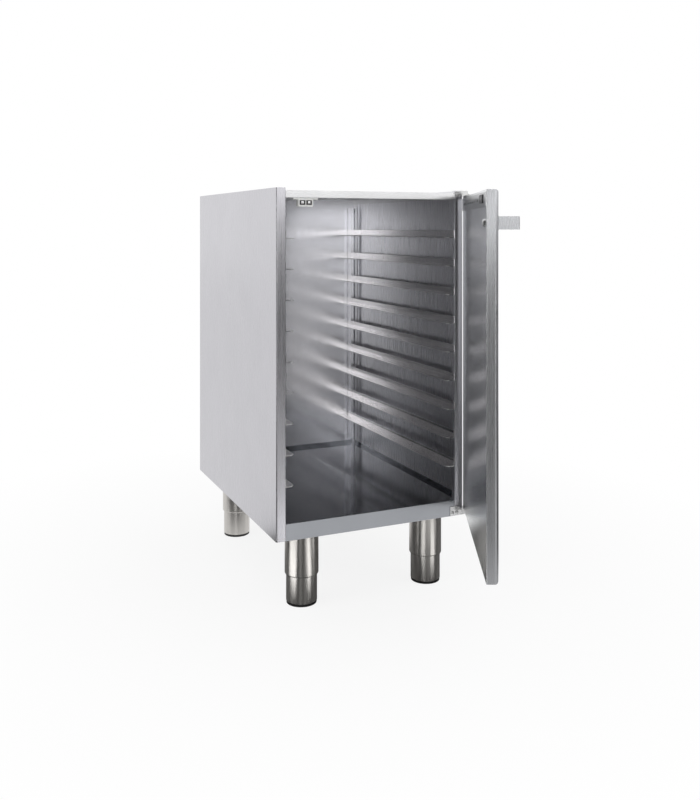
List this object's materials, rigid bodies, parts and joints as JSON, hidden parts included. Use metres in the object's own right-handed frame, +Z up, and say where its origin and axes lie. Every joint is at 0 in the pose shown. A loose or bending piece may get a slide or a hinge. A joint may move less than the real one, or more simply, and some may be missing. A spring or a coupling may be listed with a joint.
{
  "type": "baking tray cabinet",
  "caption": "Stainless baking tray cabinet on round levelling legs, with stacked pairs of tray runners, a side-hung double-skinned door with a box handle, and a magnetic catch.",
  "frame": {"origin": "on the floor that the foot pads stand on, straight below the centre of the cabinet body", "axes": "+Z up; +Y from the front, where the door is, to the back; +X to the right seen from the front"},
  "size_m": [0.4675, 1.0547, 0.9],
  "materials": {
    "brushed_stainless": "fine brushed sheet",
    "runner_stainless": "mill-finish sheet",
    "polished_stainless": "bright annealed sheet",
    "strip_stainless": "mill-finish sheet",
    "handle_stainless": "fine brushed sheet",
    "leg_stainless": "turned tube, satin",
    "galvanised_steel": "galvanised sheet",
    "bracket_steel": "satin stainless",
    "fastener_steel": "plain stainless",
    "cap_nut_steel": "polished",
    "strike_steel": "zinc-plated steel",
    "catch_plastic": "moulded white",
    "magnet_ferrite": "sintered black ferrite",
    "nylon": "moulded",
    "foot_rubber": "moulded"
  },
  "bodies": {
    "cabinet": {"left_side_panel": "brushed_stainless", "right_side_panel": "brushed_stainless", "back_panel": "brushed_stainless", "top_panel": "brushed_stainless", "base_panel": "brushed_stainless", "front_leg_channel": "galvanised_steel", "rear_leg_channel": "galvanised_steel", "rear_left_post": "brushed_stainless", "rear_right_post": "brushed_stainless", "left_runner_1": "runner_stainless", "left_runner_2": "runner_stainless", "left_runner_3": "runner_stainless", "left_runner_4": "runner_stainless", "left_runner_5": "runner_stainless", "left_runner_6": "runner_stainless", "left_runner_7": "runner_stainless", "left_runner_8": "runner_stainless", "left_runner_9": "runner_stainless", "right_runner_1": "runner_stainless", "right_runner_2": "runner_stainless", "right_runner_3": "runner_stainless", "right_runner_4": "runner_stainless", "right_runner_5": "runner_stainless", "right_runner_6": "runner_stainless", "right_runner_7": "runner_stainless", "right_runner_8": "runner_stainless", "right_runner_9": "runner_stainless", "front_left_leg_socket": "leg_stainless", "front_right_leg_socket": "leg_stainless", "rear_left_leg_socket": "leg_stainless", "rear_right_leg_socket": "leg_stainless", "leg_bolts": "fastener_steel", "upper_hinge_bracket": "bracket_steel", "lower_hinge_bracket": "bracket_steel", "upper_hinge_pin": "bracket_steel", "lower_hinge_pin": "bracket_steel", "hinge_washer": "nylon", "hinge_bracket_screws": "fastener_steel", "catch_housing": "catch_plastic", "catch_magnets": "magnet_ferrite", "catch_screws": "fastener_steel"},
    "door": {"upper_door_lug": "bracket_steel", "lower_door_lug": "bracket_steel", "door_lug_screws": "fastener_steel", "door_outer_skin": "brushed_stainless", "door_inner_skin": "polished_stainless", "door_top_strip": "strip_stainless", "strike_plate": "strike_steel", "strike_screw": "fastener_steel", "handle": "handle_stainless", "handle_screw": "fastener_steel", "handle_cap_nut": "cap_nut_steel"},
    "front_left_levelling_foot": {"front_left_foot": "leg_stainless", "front_left_foot_pad": "foot_rubber"},
    "front_right_levelling_foot": {"front_right_foot": "leg_stainless", "front_right_foot_pad": "foot_rubber"},
    "rear_left_levelling_foot": {"rear_left_foot": "leg_stainless", "rear_left_foot_pad": "foot_rubber"},
    "rear_right_levelling_foot": {"rear_right_foot": "leg_stainless", "rear_right_foot_pad": "foot_rubber"}
  },
  "joints": [
    {"name": "door_hinge", "type": "hinge", "parent": "cabinet", "child": "door", "pos_m": [0.23125, -0.32225, 0.172], "axis": [0, 0, 1], "range_deg": [-63.9, 116.1]},
    {"name": "front_left_foot_screw", "type": "slide", "parent": "cabinet", "child": "front_left_levelling_foot", "axis": [0, 0, -1], "range_m": [-0.008, 0.03]},
    {"name": "front_right_foot_screw", "type": "slide", "parent": "cabinet", "child": "front_right_levelling_foot", "axis": [0, 0, -1], "range_m": [-0.008, 0.03]},
    {"name": "rear_left_foot_screw", "type": "slide", "parent": "cabinet", "child": "rear_left_levelling_foot", "axis": [0, 0, -1], "range_m": [-0.008, 0.03]},
    {"name": "rear_right_foot_screw", "type": "slide", "parent": "cabinet", "child": "rear_right_levelling_foot", "axis": [0, 0, -1], "range_m": [-0.008, 0.03]}
  ]
}
